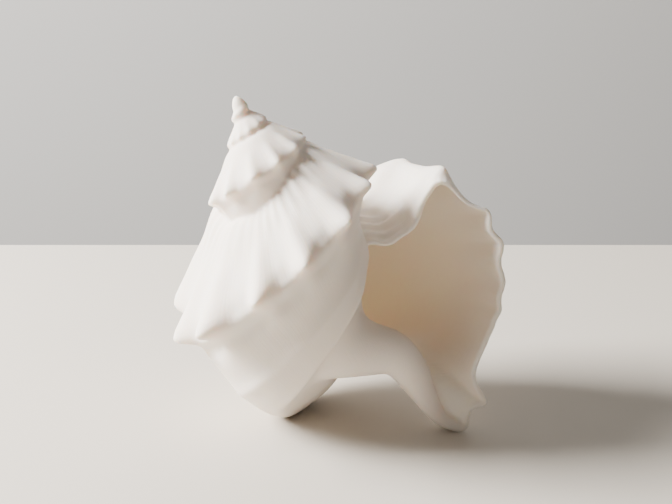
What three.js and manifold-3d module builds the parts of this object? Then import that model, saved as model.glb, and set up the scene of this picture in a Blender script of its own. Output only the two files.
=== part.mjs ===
// A knobbed whelk shell: the empty, all-white shell of a large sea snail, grown as one piece.
// It lies on the low side of its last whorl and on the tip of its canal, with its mouth forward.
//
// Millimetres, +Z up, mouth towards -Y. The origin is on the surface the shell rests on, under
// the middle of its outline.
//
// The snail grew the shell as a single tube wound round an axis. A cross-section of the tube lies
// in a half-plane that turns about that axis, so its points are pairs: the radius from the axis
// and the depth below the apex. "Turn" counts whorls, from the first one to the lip.

import * as THREE from "three";
import { mergeVertices } from "three/addons/utils/BufferGeometryUtils.js";
import Module from "manifold-3d";

const FIRST_TURN = -2.2;
const SPIRE_TURN = -0.6; // the whorls before this one are too small to show their knobs
const BODY_TURN = 1; // the last whorl, the body of the shell, starts here
const LIP_TURN = 2;
const WALL = 3.1;
const LIP_WALL = 2;
const THINS_AT = 1.85; // the wall thins from here to the lip
const CAVITY_TURN = 1.2; // the mouth is hollow back to this turn
const REST_CUT = 0.4; // how far each resting point is worn flat

// How the coil lies: turned apex up, leaned to its right, and spun about its own axis.
const POSE = new THREE.Euler(...[174, 24.1, -4.5].map(THREE.MathUtils.degToRad), "XYZ");

// Growth along the coil: turn, radius of the shoulder, depth of the shoulder, depth of the base.
const GROWTH = [
  [-2.2, 1.9, 2.2, 3.9],
  [-2, 2.6, 3.3, 5.6],
  [-1.5, 3.6, 5.5, 8.7],
  [-1, 5.2, 8.5, 13.2],
  [-0.5, 7.4, 11.6, 18.2],
  [0, 12.1, 17.2, 28],
  [0.5, 17.6, 23.7, 39.3],
  [1, 24.5, 32.7, 54.7],
  [1.1, 25.7, 35.2, 58.3],
  [1.18, 27.8, 40.2, 64.4],
  [1.27, 29.4, 45.7, 71],
  [1.35, 31.9, 49.5, 77],
  [1.42, 36.3, 52.3, 82.2],
  [1.5, 39.3, 54.2, 86.8],
  [1.58, 42.9, 48.1, 93.2],
  [1.66, 45.4, 44.3, 94],
  [1.75, 47, 42.1, 88.6],
  [1.88, 48.4, 40.4, 86.9],
  [1.94, 45.4, 42.9, 89.4],
  [2, 41, 45.1, 93],
];

// The cross-section, from the suture out over the shoulder, down the side and back up the axis.
// "young" is the steady shape, from the shoulder: radius as a share of the shoulder's radius, and
// depth as a share of that radius above the shoulder or of the side's height below it.
// "lip" is the same point on the finished lip, in millimetres. "late" says how suddenly, near the
// lip, the tube leaves the one for the other.
const SECTION = [
  { young: [-0.6, -0.6], lip: [14.3, 52.8], late: 1.3 }, // suture
  { young: [-0.3, -0.36], lip: [26.1, 54.5], late: 1.3 }, // ramp
  { young: [0, 0], lip: [41, 45.1], late: 1 }, // shoulder
  { young: [-0.05, 0.27], lip: [50.6, 56.4], late: 1 },
  { young: [-0.1, 0.52], lip: [51.2, 69.3], late: 1 }, // widest part of the lip
  { young: [-0.17, 0.79], lip: [44.8, 84.7], late: 1.2 },
  { young: [-0.31, 0.985], lip: [36.9, 93], late: 1.8 }, // base
  { young: [-0.5, 0.95], lip: [29.4, 100.9], late: 3 },
  { young: [-0.68, 0.88], lip: [29.2, 109.7], late: 5 }, // outer corner of the canal
  { young: [-0.78, 0.83], lip: [24.2, 110], late: 6 }, // notch in the canal's end
  { young: [-0.88, 0.78], lip: [20.9, 114.3], late: 7 }, // tip of the canal
  { young: [-0.95, 0.72], lip: [16.5, 113.2], late: 7 },
  { young: [-0.97, 0.62], lip: [11.6, 105.3], late: 5 }, // inner wall of the canal
  { young: [-0.97, 0.33], lip: [9.4, 94.9], late: 3 },
  { young: [-0.85, -0.28], lip: [5.5, 74.3], late: 1.5 },
];
const SHOULDER = 2; // place of the shoulder in SECTION
const LIP_BLEND = 0.5; // the tube starts to change towards the lip this many turns before it

// Relief. Places and widths along the section are in spans between its points, and heights are
// shares of the shoulder's radius. "mean" is the part of the knobs' wave that raises nothing.
const KNOBS_PER_TURN = 12.5;
const KNOB_AT = 1.0167; // the turn of one knob, from which the others follow
const KNOB_SHARPNESS = 1.8; // 1 is a plain wave, and more makes peaks with wide valleys
const KNOB = { at: SHOULDER, width: 0.3, mean: 0.2, droop: 0.2 };
const KNOB_HEIGHTS = [0.06, 0.19, 0.06]; // on the first whorls, on the last one, and at the lip
const KNOBS_GROW = [-1, 1.2]; // turns between which they rise
const KNOBS_FADE = [1.35, LIP_TURN]; // and sink again
const RIB = { at: 1.5, width: 0.5, mean: 0.35, out: 0.024, up: 0.036 }; // from knob to suture
const FINE_RIB = { at: 0.55, width: 0.45, up: 0.011 }; // along the suture
const FINE_RIBS = 3; // for each knob
const BUTTRESS = { at: 2.85, width: 0.5, mean: 0.55, out: 0.035 }; // under each knob
const WAIST = { at: 4.3, width: 1.5, depth: 0.2 }; // the side drawn in before the last whorl swells
const WAIST_STARTS = [0.6, 1];
const WAIST_ENDS = [1.5, 1.1];
const CRENULATION = 1.1; // depth of the scallops along the lip, mm
const SCALLOPS_START = 1.88;

// The columella, the pillar beside the mouth: x and y across the coil, depth, and radius.
const COLUMELLA = [
  [-7, 0.2, 67, 17],
  [-4.5, 0.2, 72, 13.6],
  [-1.5, 0.2, 76.7, 10.6],
  [3.8, 0, 80.2, 8],
  [10.9, -0.6, 84.6, 6.4],
  [13.4, -1, 92.9, 4.9],
  [13.7, -1.5, 102.8, 3.1],
  [14.8, -1.8, 109.1, 2.3],
  [17, -1.9, 111.5, 2],
];
const PILLAR = { rings: 13, sides: 14 };
// The smooth bulb at the very top, slim at the apex and swelling below it.
const PROTOCONCH = { radius: 2.3, length: 5.6, slim: 0.75, swell: 0.7, rings: 7, sides: 14 };

// How finely each stretch of the tube is made: rings in a turn, and points in each span.
const FINENESS = {
  tip: { rings: 20, perSpan: 1 },
  spire: { rings: 28, perSpan: 2 },
  body: { rings: 38, perSpan: 3 },
  cavity: { rings: 20, perSpan: 2 },
};
const STRETCH = 0.51; // longest stretch, in turns, that can't run into itself
const JOIN = 0.03; // stretches of different fineness overlap by this many turns
const PAST_LIP = 0.02; // the hollow's tool runs out through the mouth by this many turns

const wasm = await Module();
wasm.setup();

const growth = new THREE.CubicInterpolant(
  GROWTH.map(([turn]) => turn),
  GROWTH.flatMap(([, ...sizes]) => sizes),
  3,
);

const bell = (x, width) => Math.exp(-((x / width) ** 2));
const ramp = (x, from, to) => THREE.MathUtils.clamp((x - from) / (to - from), 0, 1);

// Wave of the knobs: 1 on a knob, -1 between two.
function knobWave(turn, times = 1) {
  return Math.cos(2 * Math.PI * KNOBS_PER_TURN * times * (turn - KNOB_AT));
}

// The section's points at a turn, as a closed curve of (radius, depth).
function sectionCurve(turn) {
  const [radius, shoulder, base] = growth.evaluate(Math.min(turn, LIP_TURN));
  const near = ramp(turn, LIP_TURN - LIP_BLEND, LIP_TURN);
  const waist = WAIST.depth * ramp(turn, ...WAIST_STARTS) * ramp(turn, ...WAIST_ENDS);
  const points = SECTION.map(({ young, lip, late }, i) => {
    const height = young[1] > 0 ? base - shoulder : radius;
    const drawnIn = waist * bell(i - WAIST.at, WAIST.width);
    const steady = [radius * (1 + young[0] - drawnIn), shoulder + young[1] * height];
    const share = i === SHOULDER ? 0 : near ** late;
    return new THREE.Vector3(
      THREE.MathUtils.lerp(steady[0], lip[0], share),
      THREE.MathUtils.lerp(steady[1], lip[1], share),
      0,
    );
  });
  return new THREE.CatmullRomCurve3(points, true, "catmullrom", 0.5);
}

// Moves each point of a section along its own outward direction by amount(span).
function offset(points, amount) {
  const count = points.length;
  return points.map((point, i) => {
    const before = points[(i + count - 1) % count];
    const after = points[(i + 1) % count];
    const outward = new THREE.Vector3(after.y - before.y, before.x - after.x, 0).normalize();
    return point.clone().addScaledVector(outward, amount((i * SECTION.length) / count));
  });
}

function plainSection(turn, perSpan) {
  const curve = sectionCurve(turn);
  const count = SECTION.length * perSpan;
  return Array.from({ length: count }, (_, i) => curve.getPoint(i / count));
}

// How high the knobs stand at a turn, as a share of the shoulder's radius.
function knobHeight(turn) {
  const { lerp } = THREE.MathUtils;
  const [young, grown, lip] = KNOB_HEIGHTS;
  return lerp(lerp(young, grown, ramp(turn, ...KNOBS_GROW)), lip, ramp(turn, ...KNOBS_FADE));
}

// The outside of the tube, with the knobs on its shoulder, the ribs that run up from them to the
// suture and down the side, and the scallops of the lip.
function outerSection(turn, perSpan) {
  const [radius] = growth.evaluate(Math.min(turn, LIP_TURN));
  const height = knobHeight(turn);
  const peak = ((1 + knobWave(turn)) / 2) ** KNOB_SHARPNESS;
  const raised = plainSection(turn, perSpan).map((point, i) => {
    const near = ({ at, width }) => radius * bell(i / perSpan - at, width);
    const knob = height * (peak - KNOB.mean) * near(KNOB);
    const rib = (peak - RIB.mean) * near(RIB);
    const fineRib = knobWave(turn, FINE_RIBS) * near(FINE_RIB);
    const buttress = (peak - BUTTRESS.mean) * near(BUTTRESS);
    point.x += knob + RIB.out * rib + BUTTRESS.out * buttress;
    point.y += KNOB.droop * knob - RIB.up * rib - FINE_RIB.up * fineRib;
    return point;
  });
  return offset(raised, (span) => scallop(turn, span));
}

// How far the lip's edge stands out: a wave that tightens from the shoulder down to the canal.
function scallop(turn, span) {
  const past = span - SHOULDER - 0.1;
  const wave = Math.cos(2 * Math.PI * (0.7 * past + 0.19 * past ** 2)) - 0.25;
  const along = ramp(span, 1.6, 2.1) * ramp(span, 5.9, 3.5);
  return CRENULATION * ramp(turn, SCALLOPS_START, LIP_TURN) ** 2 * along * wave;
}

function cavitySection(turn, perSpan) {
  const wall = THREE.MathUtils.lerp(WALL, LIP_WALL, ramp(turn, THINS_AT, LIP_TURN));
  return offset(plainSection(turn, perSpan), () => -wall);
}

// Puts a section's (radius, depth) points into the world at a turn of the coil.
function placed(turn, points) {
  const angle = 2 * Math.PI * turn;
  return points.map(({ x, y }) =>
    new THREE.Vector3(x * Math.cos(angle), x * Math.sin(angle), y).applyEuler(POSE),
  );
}

// A closed solid through rings of points, each end closed by a fan.
function loft(rings) {
  const size = rings[0].length;
  const centre = (ring) =>
    ring.reduce((sum, point) => sum.add(point), new THREE.Vector3()).divideScalar(size);
  const last = (rings.length - 1) * size;
  const points = [...rings.flat(), centre(rings[0]), centre(rings.at(-1))];
  const faces = [];
  for (let j = 0; j < size; j++) {
    const next = (j + 1) % size;
    for (let i = 0; i < last; i += size) {
      faces.push(i + j, i + next, i + size + next, i + j, i + size + next, i + size + j);
    }
    faces.push(points.length - 2, next, j, points.length - 1, last + j, last + next);
  }
  return solid(points.flatMap((point) => point.toArray()), faces);
}

// A manifold solid from coordinates and faces, turned the right way out if it needs to be.
function solid(coordinates, faces) {
  const make = (triangles) =>
    new wasm.Manifold(
      new wasm.Mesh({
        numProp: 3,
        vertProperties: new Float32Array(coordinates),
        triVerts: new Uint32Array(triangles),
      }),
    );
  const made = make(faces);
  return made.volume() > 0 ? made : make(faces.toReversed());
}

// The tube from one turn to another, joined from stretches shorter than a whole turn so that no
// stretch runs into itself.
function tube(from, to, { rings: perTurn, perSpan }, section) {
  const stretches = Math.ceil((to - from) / STRETCH);
  const length = (to - from) / stretches;
  const rows = Math.round(perTurn * length);
  let joined;
  for (let s = 0; s < stretches; s++) {
    const rings = Array.from({ length: rows + 1 }, (_, i) => {
      const turn = from + length * (s + i / rows);
      return placed(turn, section(turn, perSpan));
    });
    joined = joined ? joined.add(loft(rings)) : loft(rings);
  }
  return joined;
}

function columella() {
  const { rings, sides } = PILLAR;
  const pillar = new THREE.CatmullRomCurve3(
    COLUMELLA.map(([x, y, depth]) => new THREE.Vector3(x, y, depth)),
  );
  const radii = new THREE.SplineCurve(COLUMELLA.map((row, i) => new THREE.Vector2(i, row[3])));
  const across = new THREE.Vector3(0, 1, 0);
  const places = Array.from({ length: rings }, (_, i) => i / (rings - 1));
  const outlines = places.map((place) => {
    const centre = pillar.getPoint(place);
    const along = pillar.getTangent(place);
    const side = new THREE.Vector3().crossVectors(across, along).normalize();
    const front = new THREE.Vector3().crossVectors(along, side);
    const radius = radii.getPoint(place).y;
    return Array.from({ length: sides }, (_, j) => {
      const angle = (2 * Math.PI * j) / sides;
      return centre
        .clone()
        .addScaledVector(side, radius * Math.cos(angle))
        .addScaledVector(front, radius * Math.sin(angle))
        .applyEuler(POSE);
    });
  });
  return loft(outlines);
}

function protoconch() {
  const { radius, length, slim, swell, rings, sides } = PROTOCONCH;
  return loft(
    Array.from({ length: rings }, (_, ring) => {
      const polar = (Math.PI * (ring + 0.3)) / rings; // 0 at the apex
      const down = (1 - Math.cos(polar)) / 2;
      const wide = radius * Math.sin(polar) * (slim + swell * down);
      return Array.from({ length: sides }, (_, i) => {
        const angle = (2 * Math.PI * i) / sides;
        const point = [wide * Math.cos(angle), wide * Math.sin(angle), length * down];
        return new THREE.Vector3(...point).applyEuler(POSE);
      });
    }),
  );
}

// Cuts the resting points flat, and stands the solid on z = 0 about the middle of its outline.
function rested(shape) {
  const { min, max } = shape.boundingBox();
  const floor = min[2] + REST_CUT;
  const [wide, deep] = [400, 20]; // well past the shell on every side
  const below = new THREE.BoxGeometry(wide, wide, deep).translate(0, 0, floor - deep / 2);
  const [x, y] = [0, 1].map((axis) => -(min[axis] + max[axis]) / 2);
  return shape.subtract(fromGeometry(below)).translate([x, y, -floor]);
}

function fromGeometry(geometry) {
  geometry.deleteAttribute("normal").deleteAttribute("uv");
  const merged = mergeVertices(geometry);
  return solid([...merged.attributes.position.array], [...merged.index.array]);
}

function toMesh(name, shape, material) {
  const { vertProperties, triVerts } = shape.getMesh();
  const geometry = new THREE.BufferGeometry()
    .setAttribute("position", new THREE.BufferAttribute(vertProperties, 3))
    .setIndex(new THREE.BufferAttribute(triVerts, 1));
  geometry.computeVertexNormals();
  const mesh = new THREE.Mesh(geometry, material);
  mesh.name = name;
  return mesh;
}

const tip = tube(FIRST_TURN, SPIRE_TURN + JOIN, FINENESS.tip, outerSection);
const spire = tube(SPIRE_TURN, BODY_TURN + JOIN, FINENESS.spire, outerSection);
const body = tube(BODY_TURN, LIP_TURN, FINENESS.body, outerSection);
const cavity = tube(CAVITY_TURN, LIP_TURN + PAST_LIP, FINENESS.cavity, cavitySection);
const shell = rested(body.add(columella()).subtract(cavity).add(spire).add(tip).add(protoconch()));

const chalkWhite = new THREE.MeshStandardMaterial({ color: 0xf2eee8, roughness: 0.6, metalness: 0 });
const group = new THREE.Group();
group.add(toMesh("shell", shell, chalkWhite));

export default group;
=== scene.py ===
"""A knobbed whelk shell, empty and chalk white, lying with its mouth forward.

The shell is one closed skin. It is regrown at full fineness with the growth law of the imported
model: the tube's cross-section turns about the coil's axis, and each step of growth is one
extrusion of the last ring. Sizes in the growth law are millimetres, everything placed is metres.
"""

import math

import bmesh
import bpy
import numpy as np
from mathutils import Matrix, Vector


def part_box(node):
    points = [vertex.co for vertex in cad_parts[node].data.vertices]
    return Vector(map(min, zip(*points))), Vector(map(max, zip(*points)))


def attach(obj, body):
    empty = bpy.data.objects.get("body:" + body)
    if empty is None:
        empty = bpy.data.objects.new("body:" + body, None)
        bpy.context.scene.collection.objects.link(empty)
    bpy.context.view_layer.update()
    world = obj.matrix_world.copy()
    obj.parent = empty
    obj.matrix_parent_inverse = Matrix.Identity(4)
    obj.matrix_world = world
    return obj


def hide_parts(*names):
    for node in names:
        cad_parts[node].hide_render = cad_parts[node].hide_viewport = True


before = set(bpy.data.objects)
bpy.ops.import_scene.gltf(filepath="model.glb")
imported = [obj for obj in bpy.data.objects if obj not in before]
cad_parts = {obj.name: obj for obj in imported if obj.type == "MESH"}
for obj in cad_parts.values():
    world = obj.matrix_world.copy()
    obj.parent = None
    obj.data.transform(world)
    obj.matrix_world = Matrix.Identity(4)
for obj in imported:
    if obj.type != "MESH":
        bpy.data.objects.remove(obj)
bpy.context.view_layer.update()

MM = 0.001
NODE = "shell"

# ---- the growth law, in millimetres -------------------------------------------------------

FIRST_TURN = -2.2
BODY_TURN = 1.0
LIP_TURN = 2.0
WALL = 3.1
LIP_WALL = 1.7
CAVITY_TURN = 1.2
REST_CUT = 0.4

# How the coil lies: turned apex up, leaned to its right, and spun about its own axis.
POSE_TURNS = ((174.0, "X"), (24.1, "Y"), (-4.5, "Z"))

# Turn, radius of the shoulder, depth of the shoulder, depth of the base.
GROWTH = np.array([
    (-2.2, 1.5, 2.0, 3.7),
    (-2.0, 2.2, 3.0, 5.3),
    (-1.5, 3.6, 5.5, 8.7),
    (-1.0, 5.2, 8.5, 13.2),
    (-0.5, 7.4, 11.6, 18.2),
    (0.0, 12.1, 17.2, 28.0),
    (0.5, 17.6, 23.7, 39.3),
    (1.0, 24.5, 32.7, 54.7),
    (1.1, 25.7, 35.2, 58.3),
    (1.18, 27.8, 40.2, 64.4),
    (1.27, 29.4, 45.7, 71.0),
    (1.35, 31.9, 49.5, 77.0),
    (1.42, 36.3, 52.3, 82.2),
    (1.5, 39.3, 54.2, 86.8),
    (1.58, 42.9, 48.1, 93.2),
    (1.66, 45.4, 44.3, 94.0),
    (1.75, 47.0, 42.1, 88.6),
    (1.82, 47.9, 38.9, 87.2),
    (1.88, 48.4, 39.6, 86.9),
    (1.94, 45.4, 42.9, 89.4),
    (2.0, 41.0, 45.1, 93.0),
])

# The cross-section, from the suture out over the shoulder, down the side and back up the axis:
# the steady shape from the shoulder (shares of its radius, and of the side's height below it),
# the same point on the finished lip, and how suddenly the tube leaves the one for the other.
SECTION = [
    ((-0.6, -0.6), (14.3, 52.8), 1.3),
    ((-0.3, -0.36), (26.1, 54.5), 1.3),
    ((0.0, 0.0), (41.0, 45.1), 1.0),
    ((-0.05, 0.27), (50.6, 56.4), 1.0),
    ((-0.1, 0.52), (51.2, 69.3), 1.0),
    ((-0.17, 0.79), (44.8, 84.7), 1.2),
    ((-0.31, 0.985), (36.9, 93.0), 1.8),
    ((-0.5, 0.95), (29.4, 100.9), 3.0),
    ((-0.68, 0.88), (29.2, 109.7), 5.0),
    ((-0.78, 0.83), (24.2, 110.0), 6.0),
    ((-0.88, 0.78), (20.9, 114.3), 7.0),
    ((-0.95, 0.72), (16.5, 113.2), 7.0),
    ((-0.97, 0.62), (11.6, 105.3), 5.0),
    ((-0.97, 0.33), (9.4, 94.9), 3.0),
    ((-0.85, -0.28), (5.5, 74.3), 1.5),
]
YOUNG = np.array([young for young, _, _ in SECTION])
LIP = np.array([lip for _, lip, _ in SECTION])
LATE = np.array([late for _, _, late in SECTION])
SHOULDER = 2
LIP_BLEND = 0.5
LATE[SHOULDER] = np.inf  # the shoulder's place comes from the growth table alone

# The waist, where the side draws in below the shoulder before the last whorl swells: how far, as
# a share of the shoulder's radius, its place and width along the section, in spans, and the turns
# over which it comes and goes.
WAIST = 0.2
WAIST_AT = 4.3
WAIST_WIDTH = 1.5
WAIST_COMES = (0.6, 1.0)
WAIST_GOES = (1.5, 1.1)

# Knobs on the shoulder. Heights are shares of the shoulder's radius, and widths are in spans.
KNOBS_PER_TURN = 12.5
KNOB_AT = 1.0167
KNOB_WIDTH = 0.3
KNOB_LEAST = 0.06
KNOB_GAIN = 0.13  # what they gain over KNOBS_GROW, and lose again over KNOBS_FADE
KNOBS_GROW = (-1, 1.2)
KNOBS_FADE = (1.35, 2)
KNOB_SHARPNESS = 1.8
KNOB_SINK = 0.2  # the share of its height that a knob's valleys sink by
KNOB_LEAN = 0.2  # the share of its height that a knob leans towards the base
KNOBS_CROWD = (0.02, 1.7, 1.9)  # turns by which the last knobs come early, and where
UNEVEN_SPACING = ((0.004, 11), (0.003, 29))  # turns, and how fast it varies along the coil

# Folds across the whorls: place and width in spans, the level that stays put, and the reach
# outwards and towards the apex as shares of the shoulder's radius.
RIB_AT, RIB_WIDTH, RIB_LEVEL, RIB_OUT, RIB_UP = 1.5, 0.5, 0.35, 0.024, 0.036
BUTTRESS_AT, BUTTRESS_WIDTH, BUTTRESS_LEVEL, BUTTRESS_OUT = 2.85, 0.5, 0.55, 0.035
FINE_RIBS_PER_KNOB = 3
FINE_RIB_AT, FINE_RIB_WIDTH, FINE_RIB_UP = 0.55, 0.45, 0.011
FINE_RIB_STRENGTH = (0.8, 0.4, 17)  # the usual, how much it varies, and how fast

# A cord and a groove that run along the last whorl, below the shoulder.
CORD_AT, CORD_WIDTH, CORD_OUT = 4.7, 0.2, 0.012
GROOVE_AT, GROOVE_WIDTH, GROOVE_SHARE = 2.7, 0.3, 2
CORD_COMES = (0.9, 1.2)
CORD_GOES = (1.7, 1.5)

# Scallops of the lip, in millimetres, and the flutes of its upper edge as a share of them.
CRENULATION = 1.1
SCALLOPS_START = 1.86
SCALLOP_BEND = (0.7, 0.19)  # waves per span at the shoulder, and how they crowd along the side
SCALLOP_LEVEL = 0.25
FLUTE_AT, FLUTE_WIDTH, FLUTE_SHARE, FLUTES_PER_SPAN = 1.0, 0.5, 0.8, 1.4
LIP_THINS_AT = 1.85

# The columella, the pillar beside the mouth: x and y across the coil, depth, and radius.
COLUMELLA = np.array([
    (-7.0, 0.2, 67.0, 17.0),
    (-4.5, 0.2, 72.0, 13.6),
    (-1.5, 0.2, 76.7, 10.6),
    (3.8, 0.0, 80.2, 8.0),
    (10.9, -0.6, 84.6, 6.4),
    (13.4, -1.0, 92.9, 4.9),
    (13.7, -1.5, 102.8, 3.1),
    (14.8, -1.8, 109.1, 2.3),
    (18.8, -1.6, 112.6, 2.1),
])
PROTOCONCH_RADIUS = 1.9
PROTOCONCH_LENGTH = 5.6
PROTOCONCH_SLIM = 0.75  # its width at the apex, as a share of the radius
PROTOCONCH_SWELL = 0.7  # what it gains towards its foot
PROTOCONCH_TIP = 0.06  # radians from the pole to the first ring

# ---- how finely the skin is made ----------------------------------------------------------

VOXEL = 0.5
EASING = 2
KEPT_TRIANGLES = 0.39  # the share of the even skin's triangles that is needed
BODY_ROWS = 220  # rings per turn of the last whorl
SPIRE_ROWS = 130
CAVITY_ROWS = 90
SADDLE_EASING = 150
INSIDE_STEPS = 200
INSIDE_FROM_LIP = (LIP_TURN - 0.005, LIP_TURN - 0.11)  # turns over which the colour comes in
INSIDE_FROM_CANAL = (96, 78)  # depths over which it comes in
# Where creases are eased: a place in the coil (across, across, depth) and its reach.
SADDLES = [
    ((2.0, 5.0, 71.0), 15.0),
    ((-6.0, 4.0, 80.0), 14.0),
    ((-14.0, 2.0, 86.0), 9.0),
]
SPIRE_LENGTHS = 7
SPIRE_OVERLAP = 0.03  # turns by which the spire runs on into the last whorl
BODY_SPAN = 8  # points in each span of the cross-section
SPIRE_SPAN = 5


def bell(x, width):
    return np.exp(-((x / width) ** 2))


def ramp(x, start, end):
    return np.clip((x - start) / (end - start), 0.0, 1.0)


def grown(turn):
    """Shoulder radius, shoulder depth and base depth at a turn, on a smooth curve."""
    turn = min(turn, LIP_TURN)
    turns = GROWTH[:, 0]
    i = int(np.clip(np.searchsorted(turns, turn) - 1, 0, len(turns) - 2))
    before, after = max(i - 1, 0), min(i + 2, len(turns) - 1)
    slopes = [
        (GROWTH[i + 1, 1:] - GROWTH[before, 1:]) / (turns[i + 1] - turns[before]),
        (GROWTH[after, 1:] - GROWTH[i, 1:]) / (turns[after] - turns[i]),
    ]
    step = turns[i + 1] - turns[i]
    s = (turn - turns[i]) / step
    return (
        (1 + 2 * s) * (1 - s) ** 2 * GROWTH[i, 1:]
        + s * (1 - s) ** 2 * step * slopes[0]
        + s * s * (3 - 2 * s) * GROWTH[i + 1, 1:]
        + s * s * (s - 1) * step * slopes[1]
    )


def closed_curve(points, per_span):
    """A smooth closed curve through the points, with per_span points for each span."""
    s = np.linspace(0, 1, per_span, endpoint=False)[:, None]
    before, after, beyond = np.roll(points, 1, 0), np.roll(points, -1, 0), np.roll(points, -2, 0)
    spans = [
        0.5 * (2 * b + (c - a) * s + (2 * a - 5 * b + 4 * c - d) * s**2
               + (3 * b - a - 3 * c + d) * s**3)
        for a, b, c, d in zip(before, points, after, beyond)
    ]
    return np.concatenate(spans)


def plain_section(turn, per_span):
    """The tube's closed outline across the growth, without knobs, folds or scallops."""
    radius, shoulder, base = grown(turn)
    height = np.where(YOUNG[:, 1] > 0, base - shoulder, radius)
    steady = np.column_stack([radius * (1 + YOUNG[:, 0]), shoulder + YOUNG[:, 1] * height])
    near = ramp(turn, LIP_TURN - LIP_BLEND, LIP_TURN)
    share = (near ** LATE)[:, None] if near < 1 else np.ones((len(SECTION), 1))
    share[SHOULDER] = 0
    waist = WAIST * ramp(turn, *WAIST_COMES) * ramp(turn, *WAIST_GOES)
    steady[:, 0] -= waist * radius * bell(np.arange(len(SECTION)) - WAIST_AT, WAIST_WIDTH)
    return closed_curve(steady * (1 - share) + LIP * share, per_span)


def spans_of(section):
    """The place of each point along the section, counted in spans."""
    return np.arange(len(section)) * len(SECTION) / len(section)


def offset(section, amount):
    """The section with each point moved outwards by its amount."""
    along = np.roll(section, -1, 0) - np.roll(section, 1, 0)
    outward = np.column_stack([along[:, 1], -along[:, 0]])
    outward /= np.linalg.norm(outward, axis=1, keepdims=True)
    return section + outward * np.reshape(amount, (-1, 1))


def knob_wave(turn, times=1):
    """1 on a knob and -1 between two. The knobs are never quite evenly spaced."""
    early, *crowded = KNOBS_CROWD
    drift = early * ramp(turn, *crowded)
    for share, speed in UNEVEN_SPACING:
        drift = drift + share * math.sin(speed * turn)
    return math.cos(2 * math.pi * KNOBS_PER_TURN * times * (turn + drift - KNOB_AT))


def scallops(turn, spans):
    """How far the skin swings out near the lip, in the scallops and flutes of its edge."""
    past = spans - SHOULDER - 0.1
    wave = np.cos(2 * math.pi * (SCALLOP_BEND[0] * past + SCALLOP_BEND[1] * past**2)) - SCALLOP_LEVEL
    along = ramp(spans, 1.6, 2.1) * ramp(spans, 5.9, 3.5)
    flutes = FLUTE_SHARE * np.cos(2 * math.pi * FLUTES_PER_SPAN * (spans - 0.25))
    flutes = flutes * bell(spans - FLUTE_AT, FLUTE_WIDTH)
    return CRENULATION * ramp(turn, SCALLOPS_START, LIP_TURN) ** 2 * (along * wave + flutes)


def outer_section(turn, per_span):
    """The outside of the tube, with its knobs, its folds and the scallops of the lip."""
    section = plain_section(turn, per_span)
    spans = spans_of(section)
    radius = grown(turn)[0]
    gain, fade = ramp(turn, *KNOBS_GROW), ramp(turn, *KNOBS_FADE)
    size = radius * (KNOB_LEAST + KNOB_GAIN * gain - KNOB_GAIN * fade)
    peak = ((1 + knob_wave(turn)) / 2) ** KNOB_SHARPNESS
    knob = size * (peak - KNOB_SINK) * bell(spans - SHOULDER, KNOB_WIDTH)
    rib = (peak - RIB_LEVEL) * bell(spans - RIB_AT, RIB_WIDTH) * radius
    usual, swing, speed = FINE_RIB_STRENGTH
    fine_rib = knob_wave(turn, FINE_RIBS_PER_KNOB) * bell(spans - FINE_RIB_AT, FINE_RIB_WIDTH)
    fine_rib = fine_rib * radius * (usual + swing * math.sin(speed * turn))
    buttress = (peak - BUTTRESS_LEVEL) * bell(spans - BUTTRESS_AT, BUTTRESS_WIDTH) * radius
    groove = bell(spans - GROOVE_AT, GROOVE_WIDTH) * GROOVE_SHARE
    cord = (bell(spans - CORD_AT, CORD_WIDTH) - groove) * radius
    cord = cord * ramp(turn, *CORD_COMES) * ramp(turn, *CORD_GOES)
    section[:, 0] += knob + RIB_OUT * rib + BUTTRESS_OUT * buttress + CORD_OUT * cord
    section[:, 1] += KNOB_LEAN * knob - RIB_UP * rib - FINE_RIB_UP * fine_rib
    return offset(section, scallops(turn, spans))


def wall_at(turn):
    """The wall's thickness, which thins towards the lip."""
    return WALL + (LIP_WALL - WALL) * ramp(turn, LIP_THINS_AT, LIP_TURN)


def cavity_section(turn, per_span, wall_share=1.0):
    """The inside of the tube, one wall in from the outside without its knobs and folds."""
    section = plain_section(turn, per_span)
    section = offset(section, scallops(turn, spans_of(section)))
    return offset(section, np.full(len(section), -wall_at(turn) * wall_share))


# ---- placing the coil ---------------------------------------------------------------------

pose = Matrix.Identity(3)
for degrees, axis in POSE_TURNS:
    pose = pose @ Matrix.Rotation(math.radians(degrees), 3, axis)
POSE = np.array(pose)


def placed(turn, section, forward=0.0):
    """A section's points turned about the coil's axis, moved forward along the growth."""
    angle = 2 * math.pi * turn
    out = np.array([math.cos(angle), math.sin(angle), 0.0])
    ahead = np.array([-math.sin(angle), math.cos(angle), 0.0])
    down = np.array([0.0, 0.0, 1.0])
    points = section[:, :1] * out + section[:, 1:] * down + forward * ahead
    return points @ POSE.T * MM


# ---- growing the skin ---------------------------------------------------------------------

def grow(bm, rings):
    """One closed skin: a first ring, an extrusion for each ring after it, and both ends filled."""
    ring = [bm.verts.new(point) for point in rings[0]]
    count = len(ring)
    edges = [bm.edges.new((ring[i], ring[(i + 1) % count])) for i in range(count)]
    ends = [edges]
    for points in rings[1:]:
        made = bmesh.ops.extrude_edge_only(bm, edges=edges)["geom"]
        new = {v for v in made if isinstance(v, bmesh.types.BMVert)}
        ring = [next(e.other_vert(v) for e in v.link_edges if e.other_vert(v) in new) for v in ring]
        for vert, point in zip(ring, points):
            vert.co = point
        edges = [bm.edges.get((ring[i], ring[(i + 1) % count])) for i in range(count)]
    ends.append(edges)
    for end in ends:
        filled = bmesh.ops.edgeloop_fill(bm, edges=end)["faces"]
        bmesh.ops.poke(bm, faces=filled)


def tube_rings(start, end, rows_per_turn, section_at):
    """Rings along the coil from one turn to another."""
    rows = max(2, round(rows_per_turn * abs(end - start)))
    return [placed(turn, section_at(turn)) for turn in np.linspace(start, end, rows + 1)]


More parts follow.
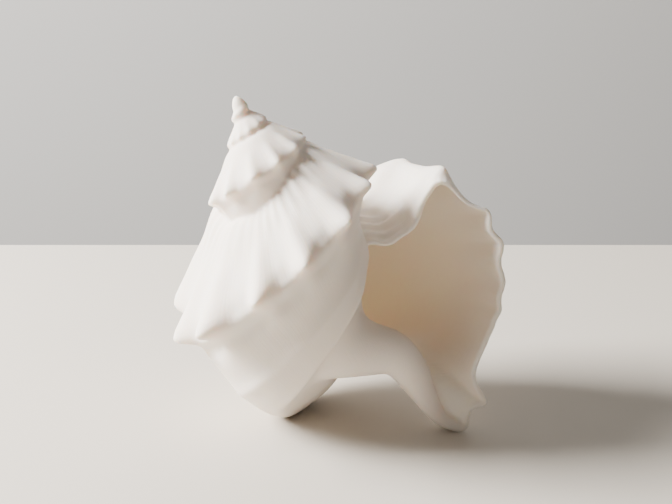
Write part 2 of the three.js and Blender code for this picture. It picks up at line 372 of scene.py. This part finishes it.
def rim_rings(steps=6):
    """Rings that round the lip over, from the outside of the tube to the inside."""
    outer = outer_section(LIP_TURN, BODY_SPAN)
    inner = cavity_section(LIP_TURN, BODY_SPAN)
    middle, reach = (outer + inner) / 2, (outer - inner) / 2
    angles = np.linspace(0, math.pi, steps + 1)[1:-1]
    return [
        placed(LIP_TURN, middle + reach * math.cos(a), LIP_WALL / 2 * math.sin(a)) for a in angles
    ]


def body_rings():
    """Out along the last whorl, over the lip, and back in along its hollow."""
    outside = tube_rings(BODY_TURN, LIP_TURN, BODY_ROWS, lambda t: outer_section(t, BODY_SPAN))
    inside = tube_rings(LIP_TURN, CAVITY_TURN, CAVITY_ROWS, lambda t: cavity_section(t, BODY_SPAN))
    return outside + rim_rings() + inside


def columella_rings(steps=40, sides=40):
    """Round rings along the pillar's eased line, each square to it."""
    places = np.linspace(0, len(COLUMELLA) - 1, steps + 1)
    known = np.arange(len(COLUMELLA))
    rows = np.column_stack([np.interp(places, known, column) for column in COLUMELLA.T])
    for _ in range(6):
        rows[1:-1] = (rows[:-2] + 2 * rows[1:-1] + rows[2:]) / 4
    along = np.gradient(rows[:, :3], axis=0)
    rings = []
    for row, direction in zip(rows, along):
        direction = Vector(direction).normalized()
        side = Vector((0, 1, 0)).cross(direction).normalized()
        front = direction.cross(side)
        angles = np.linspace(0, 2 * math.pi, sides, endpoint=False)
        circle = np.outer(np.cos(angles), side) + np.outer(np.sin(angles), front)
        rings.append((row[:3] + row[3] * circle) @ POSE.T * MM)
    return rings


def protoconch_rings(steps=14, sides=32):
    """Rings of the smooth, drop-shaped first whorl at the apex."""
    angles = np.linspace(0, 2 * math.pi, sides, endpoint=False)
    rings = []
    for polar in np.linspace(PROTOCONCH_TIP, math.pi - PROTOCONCH_TIP, steps):
        down = (1 - math.cos(polar)) / 2
        wide = PROTOCONCH_RADIUS * math.sin(polar) * (PROTOCONCH_SLIM + PROTOCONCH_SWELL * down)
        depth = PROTOCONCH_LENGTH * down
        ring = np.column_stack([wide * np.cos(angles), wide * np.sin(angles), 0 * angles + depth])
        rings.append(ring @ POSE.T * MM)
    return rings


def grow_shell():
    """The spire in lengths that overlap its own coil, the last whorl, the pillar and the apex."""
    bm = bmesh.new()
    turns = np.linspace(FIRST_TURN, BODY_TURN + SPIRE_OVERLAP, SPIRE_LENGTHS + 1)
    for start, end in zip(turns[:-1], turns[1:]):
        grow(bm, tube_rings(start, end, SPIRE_ROWS, lambda t: outer_section(t, SPIRE_SPAN)))
    grow(bm, body_rings())
    grow(bm, columella_rings())
    grow(bm, protoconch_rings())
    bmesh.ops.recalc_face_normals(bm, faces=bm.faces)
    mesh = bpy.data.meshes.new("shell_skin")
    bm.to_mesh(mesh)
    bm.free()
    piece = bpy.data.objects.new("shell_skin", mesh)
    bpy.context.scene.collection.objects.link(piece)
    return piece


def with_modifiers(piece):
    """The piece with its modifiers made part of its mesh."""
    bpy.context.view_layer.update()
    graph = bpy.context.evaluated_depsgraph_get()
    mesh = bpy.data.meshes.new_from_object(piece.evaluated_get(graph))
    piece.modifiers.clear()
    piece.data = mesh
    return piece


def drop_pockets(piece):
    """Deletes the tiny sealed pockets left where the skins overlap, and keeps the shell itself."""
    bm = bmesh.new()
    bm.from_mesh(piece.data)
    seen = set()
    bodies = []
    for first in bm.verts:
        if first in seen:
            continue
        seen.add(first)
        body = [first]
        for vert in body:
            for edge in vert.link_edges:
                other = edge.other_vert(vert)
                if other not in seen:
                    seen.add(other)
                    body.append(other)
        bodies.append(body)
    bodies.sort(key=len)
    for pocket in bodies[:-1]:
        bmesh.ops.delete(bm, geom=pocket, context="VERTS")
    bm.to_mesh(piece.data)
    bm.free()
    return piece


def fuse(piece):
    """Joins the overlapping skins into one even one, and eases it."""
    skin = piece.modifiers.new("one skin", "REMESH")
    skin.mode = "VOXEL"
    skin.voxel_size = VOXEL * MM
    ease = piece.modifiers.new("ease", "SMOOTH")
    ease.factor = 0.5
    ease.iterations = EASING
    spare = piece.modifiers.new("spare", "DECIMATE")
    spare.ratio = KEPT_TRIANGLES
    return drop_pockets(with_modifiers(piece))


def fillet(piece):
    """Eases the crease where the pillar leaves the body into a saddle. The apex is at the origin."""
    group = piece.vertex_groups.new(name="saddle")
    points = np.array([v.co for v in piece.data.vertices]) @ POSE / MM
    for place, reach in SADDLES:
        near = np.linalg.norm(points - np.array(place), axis=1) / reach
        share = np.clip(1.6 * (1 - near), 0, 1)
        for index in np.nonzero(share)[0]:
            group.add([int(index)], float(share[index]), "ADD")
    ease = piece.modifiers.new("saddle", "SMOOTH")
    ease.factor = 0.5
    ease.iterations = SADDLE_EASING
    ease.vertex_group = group.name
    with_modifiers(piece)


def settle(piece):
    """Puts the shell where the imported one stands, and wears its resting points flat."""
    points = np.array([v.co for v in piece.data.vertices])
    low, high = points.min(0), points.max(0)
    node_low, node_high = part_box(NODE)
    middle = (Vector(node_low) + Vector(node_high)) / 2
    shift = Vector((middle.x - (low[0] + high[0]) / 2, middle.y - (low[1] + high[1]) / 2, 0))
    shift.z = node_low.z - low[2] - REST_CUT * MM
    piece.data.transform(Matrix.Translation(shift))
    for vert in piece.data.vertices:
        vert.co.z = max(vert.co.z, node_low.z)
    return shift


def mark_inside(piece, apex):
    """An attribute that is 1 on the skin of the hollow, 0 outside, and fades near the edges."""
    points = np.array([v.co for v in piece.data.vertices]) - np.array(apex)
    coil = points @ POSE / MM
    radius = np.hypot(coil[:, 0], coil[:, 1])
    turn = np.mod(np.arctan2(coil[:, 1], coil[:, 0]) / (2 * math.pi), 1.0) + BODY_TURN
    inside = np.zeros(len(points))
    for step in range(INSIDE_STEPS):
        at = BODY_TURN + (step + 0.5) / INSIDE_STEPS
        if at < CAVITY_TURN - 0.02:
            continue
        chosen = np.nonzero(np.abs(turn - at) <= 0.5 / INSIDE_STEPS)[0]
        limit = cavity_section(at, 4, 0.5)
        x, y = radius[chosen, None], coil[chosen, 2, None]
        x0, y0 = limit.T
        x1, y1 = np.roll(limit, -1, 0).T
        crossing = (y0 > y) != (y1 > y)
        with np.errstate(divide="ignore", invalid="ignore"):
            hit = crossing & (x < (x1 - x0) * (y - y0) / (y1 - y0) + x0)
        inside[chosen] = hit.sum(1) % 2
    inside *= ramp(turn, *INSIDE_FROM_LIP) * ramp(coil[:, 2], *INSIDE_FROM_CANAL)
    layer = piece.data.attributes.new("inside", "FLOAT", "POINT")
    layer.data.foreach_set("value", inside.astype(np.float32))


# ---- materials ----------------------------------------------------------------------------

class Value:
    """A shader socket that does sums."""

    def __init__(self, shader, socket):
        self.shader = shader
        self.socket = socket

    def sum(self, operation, a, b):
        return self.shader.node("ShaderNodeMath", {"operation": operation}, {0: a, 1: b})

    def __add__(self, other):
        return self.sum("ADD", self, other)

    __radd__ = __add__

    def __mul__(self, other):
        return self.sum("MULTIPLY", self, other)

    __rmul__ = __mul__

    def __sub__(self, other):
        return self.sum("SUBTRACT", self, other)

    def __rsub__(self, other):
        return self.sum("SUBTRACT", other, self)


class Shader:
    """A material made of nodes."""

    def __init__(self, name):
        self.material = bpy.data.materials.new(name)
        self.material.use_nodes = True
        self.tree = self.material.node_tree
        self.tree.nodes.clear()

    def node(self, kind, settings=None, inputs=None, output=0):
        made = self.tree.nodes.new(kind)
        for name, value in (settings or {}).items():
            setattr(made, name, value)
        for key, value in (inputs or {}).items():
            if isinstance(value, Value):
                self.tree.links.new(value.socket, made.inputs[key])
            else:
                made.inputs[key].default_value = value
        return Value(self, made.outputs[output])

    def vectors(self, operation, *values):
        return self.node("ShaderNodeVectorMath", {"operation": operation}, dict(enumerate(values)))

    def mix(self, factor, a, b):
        return self.node(
            "ShaderNodeMix", {"data_type": "RGBA"}, {0: factor, 6: a, 7: b}, output=2
        )

    def finish(self, surface):
        output = self.tree.nodes.new("ShaderNodeOutputMaterial")
        self.tree.links.new(surface.socket, output.inputs["Surface"])
        return self.material


CHALK = (0.885, 0.81, 0.74, 1)
CHALK_WARM = (0.84, 0.735, 0.635, 1)
IVORY = (0.95, 0.86, 0.765, 1)
PAINTED_GLOW = (1.0, 0.76, 0.5, 1)  # painted glow inside the hollow, standing in for daylight that comes through the thin wall


def shell_material(apex):
    """Chalky white with soft clouds and faint growth lines, ivory inside, and a painted glow inside
    for daylight through the thin wall.
    """
    shader = Shader("shell_wall")
    spot = shader.node("ShaderNodeTexCoord", output="Object")
    inside = shader.node("ShaderNodeAttribute", {"attribute_name": "inside"}, output="Fac")
    turned = pose.to_euler("XYZ")
    coil = shader.node(
        "ShaderNodeMapping", {"vector_type": "TEXTURE"},
        {"Vector": spot, "Location": apex, "Rotation": turned, "Scale": (MM, MM, MM)},
    )
    flat = shader.vectors("MULTIPLY", coil, (1, 1, 0))
    around = shader.vectors("NORMALIZE", flat)
    fine = shader.vectors("MULTIPLY", around, (60, 60, 0))
    drift = shader.vectors("MULTIPLY", coil, (0.03, 0.03, 0.06))
    streak = shader.vectors("ADD", fine, drift)
    growth = shader.node(
        "ShaderNodeTexNoise", {}, {"Vector": streak, "Scale": 1.0, "Detail": 3.0, "Roughness": 0.6}
    )
    cloud = shader.node("ShaderNodeTexNoise", {}, {"Vector": coil, "Scale": 0.06, "Detail": 2.0})
    outside = shader.mix(cloud * 0.5 + growth * 0.25, CHALK, CHALK_WARM)
    colour = shader.mix(inside, outside, IVORY)
    # painted glow: a faint warm emission on the inside stands in for daylight coming through the
    # wall
    painted_glow = shader.mix(inside, (0, 0, 0, 1), PAINTED_GLOW)
    relief = shader.node(
        "ShaderNodeBump", {}, {"Strength": 0.25, "Distance": 0.0004, "Height": growth}
    )
    surface = shader.node(
        "ShaderNodeBsdfPrincipled", {},
        {
            "Base Color": colour,
            "Roughness": 0.62 - 0.2 * inside,
            "Normal": relief,
            "Emission Color": painted_glow,
            "Emission Strength": 0.06,
            "Subsurface Weight": 0.5,
            "Subsurface Radius": (1.0, 0.75, 0.5),
            "Subsurface Scale": 0.004,
            "Specular IOR Level": 0.35,
        },
    )
    return shader.finish(surface)


def plain_material(name, colour, roughness):
    shader = Shader(name)
    surface = shader.node(
        "ShaderNodeBsdfPrincipled", {}, {"Base Color": colour, "Roughness": roughness}
    )
    return shader.finish(surface)


# ---- the studio ---------------------------------------------------------------------------

TABLE_TO_FRONT = 1.6
TABLE_BEHIND = 0.174
TABLE_HALF = 1.6
TABLE_COLOUR = (0.57, 0.525, 0.46, 1)
WALL_BEHIND = 0.75
WALL_HALF = 3.2
WALL_LOW = -1.0
WALL_HIGH = 2.0
WALL_COLOUR = (0.5, 0.49, 0.475, 1)
CAMERA_FROM_APEX = Vector((0.02776, -0.39028, 0.07448))
CAMERA_DOWN = 17.0
LENS = 77.0


def sheet(name, corners, material):
    bm = bmesh.new()
    bm.faces.new([bm.verts.new(corner) for corner in corners])
    mesh = bpy.data.meshes.new(name)
    bm.to_mesh(mesh)
    bm.free()
    mesh.materials.append(material)
    piece = bpy.data.objects.new(name, mesh)
    bpy.context.scene.collection.objects.link(piece)
    return piece


def studio():
    """A pale table top with a straight far edge, and a wall well behind it."""
    side, front, back = TABLE_HALF, -TABLE_TO_FRONT, TABLE_BEHIND
    table = [(-side, front, 0), (side, front, 0), (side, back, 0), (-side, back, 0)]
    sheet("table", table, plain_material("table", TABLE_COLOUR, 0.7))
    wide, low, high = WALL_HALF, WALL_LOW, WALL_HIGH
    wall = [(-wide, low), (wide, low), (wide, high), (-wide, high)]
    wall = [(x, WALL_BEHIND, z) for x, z in wall]
    sheet("wall", wall, plain_material("wall", WALL_COLOUR, 0.9))


def soft_light(name, place, aim, size, power, colour):
    light = bpy.data.lights.new(name, "AREA")
    light.shape = "RECTANGLE"
    light.size, light.size_y = size
    light.energy = power
    light.color = colour
    lamp = bpy.data.objects.new(name, light)
    lamp.location = place
    lamp.rotation_euler = (Vector(aim) - Vector(place)).to_track_quat("-Z", "Y").to_euler()
    bpy.context.scene.collection.objects.link(lamp)


def lights():
    """A window on the left, a faint light from behind on the right, and the room's own light."""
    middle = (0, 0, 0.045)
    soft_light("window", (-0.76, 0.04, 0.5), middle, (0.42, 0.42), 51.0, (1.0, 0.975, 0.94))
    soft_light("room", (0.5, 0.45, 0.9), middle, (0.9, 0.9), 1.7, (1.0, 0.96, 0.92))
    world = bpy.data.worlds.new("room")
    world.use_nodes = True
    background = world.node_tree.nodes["Background"]
    background.inputs["Color"].default_value = (1.0, 0.98, 0.96, 1)
    background.inputs["Strength"].default_value = 0.155
    bpy.context.scene.world = world


def camera(apex):
    data = bpy.data.cameras.new("camera")
    data.lens = LENS
    data.sensor_width = 36.0
    data.clip_start = 0.01
    eye = bpy.data.objects.new("camera", data)
    eye.location = Vector(apex) + CAMERA_FROM_APEX
    eye.rotation_euler = (math.radians(90 - CAMERA_DOWN), 0, 0)
    bpy.context.scene.collection.objects.link(eye)
    bpy.context.scene.camera = eye


shell = fuse(grow_shell())
fillet(shell)
apex = settle(shell)
mark_inside(shell, apex)
shell.name = "whelk_shell"
shell.data.materials.append(shell_material(apex))
shell.data.shade_smooth()
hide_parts(NODE)
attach(shell, "root")
studio()
lights()
camera(apex)
